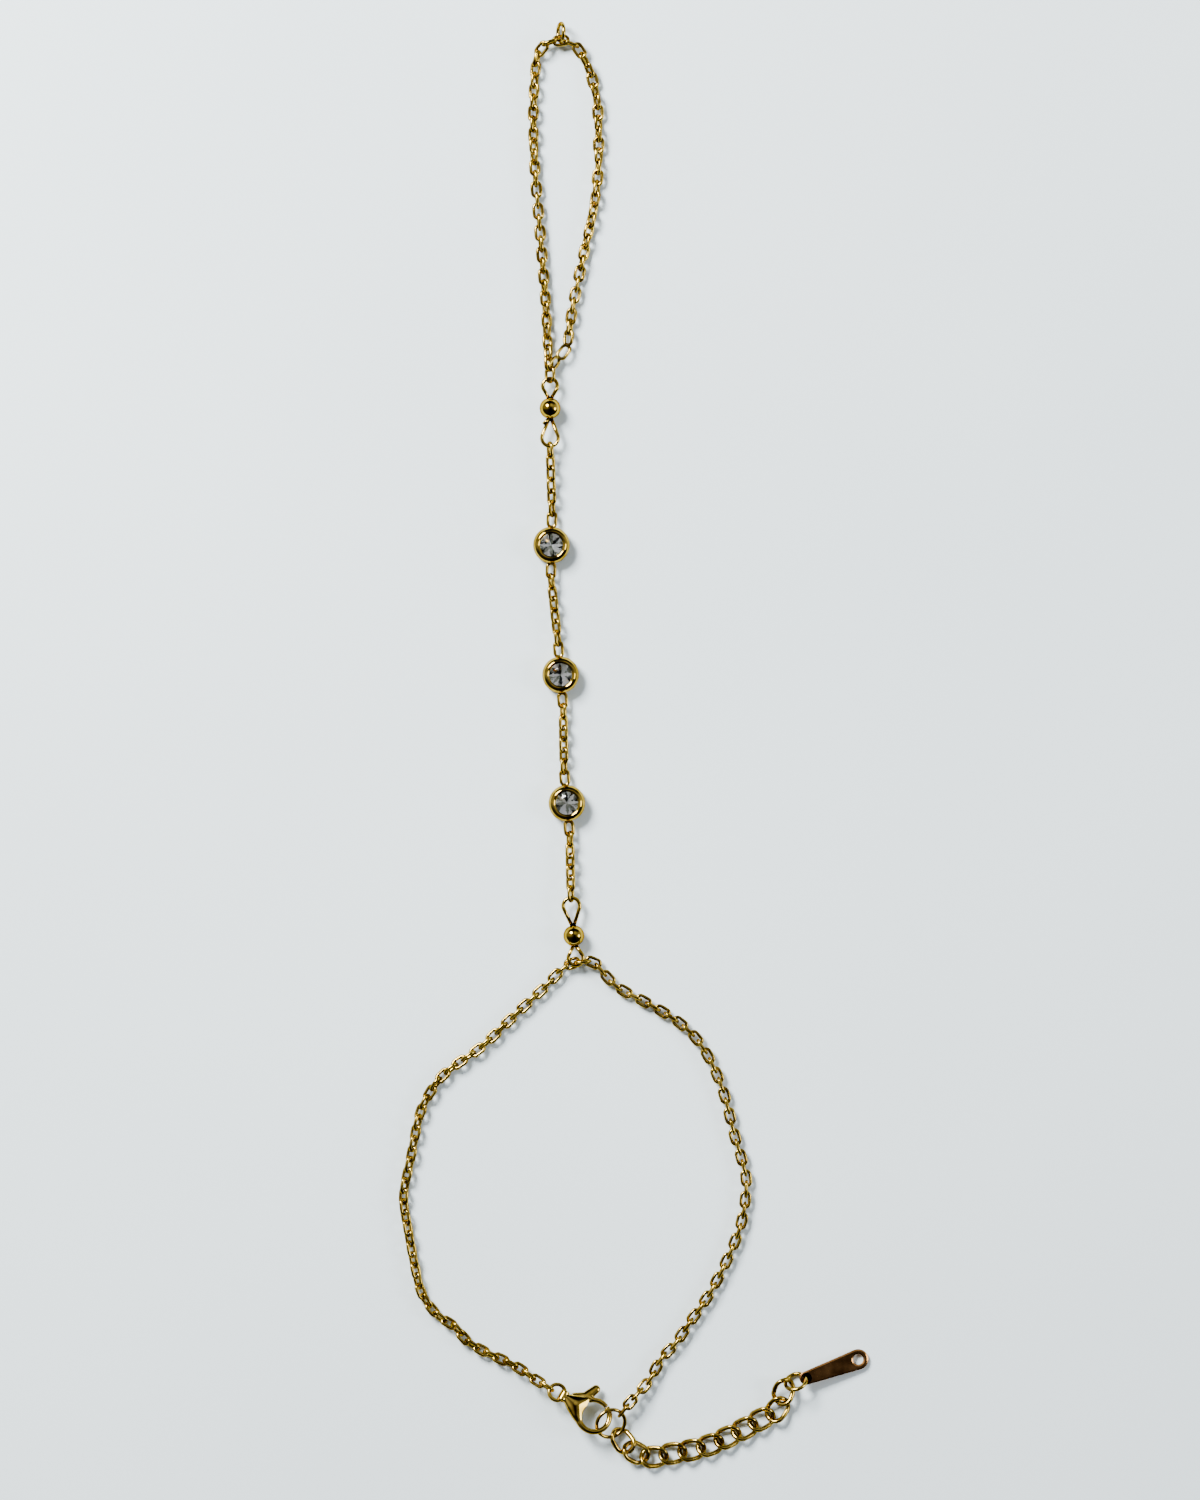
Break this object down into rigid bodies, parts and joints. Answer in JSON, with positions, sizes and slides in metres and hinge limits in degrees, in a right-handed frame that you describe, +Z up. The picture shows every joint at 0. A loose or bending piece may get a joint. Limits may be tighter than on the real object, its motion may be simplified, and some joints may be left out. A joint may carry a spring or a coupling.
{
  "type": "hand chain bracelet",
  "caption": "Hand chain bracelet lying flat: a finger loop, a chain of beads and bezel set stones down the hand, and a wrist chain with a lobster clasp and an extender.",
  "frame": {"origin": "middle of the flat back of the middle bezel, on the surface that the bracelet lies on", "axes": "+X to the right, +Y along the hand towards the finger loop, +Z up from the surface"},
  "size_m": [0.067, 0.2062, 0.0034],
  "materials": {
    "gold_metal": "polished, gold coloured coating",
    "clear_stone": "cut and polished facets"
  },
  "bodies": {
    "chain": {"loop_top_ring": "gold_metal", "loop_chain_left": "gold_metal", "loop_chain_right": "gold_metal", "loop_joining_link": "gold_metal", "upper_bead_wire": "gold_metal", "upper_bead": "gold_metal", "hand_chain_1": "gold_metal", "bezel_1": "gold_metal", "stone_1": "clear_stone", "hand_chain_2": "gold_metal", "bezel_2": "gold_metal", "stone_2": "clear_stone", "hand_chain_3": "gold_metal", "bezel_3": "gold_metal", "stone_3": "clear_stone", "hand_chain_4": "gold_metal", "lower_bead_wire": "gold_metal", "lower_bead": "gold_metal", "wrist_chain_left": "gold_metal", "wrist_chain_right": "gold_metal", "clasp_ring": "gold_metal", "clasp_body": "gold_metal", "end_ring": "gold_metal", "extender_chain": "gold_metal", "tag_ring": "gold_metal", "end_tag": "gold_metal"},
    "lever": {"clasp_lever": "gold_metal"}
  },
  "joints": [
    {"name": "clasp_lever_hinge", "type": "hinge", "parent": "chain", "child": "lever", "pos_m": [0.00195, -0.10281, 0.00187], "axis": [0.1522, 0.269, 0.9511], "range_deg": [-14, 0], "stiffness_Nm_per_rad": 0.0004, "springref_deg": 20.05}
  ]
}
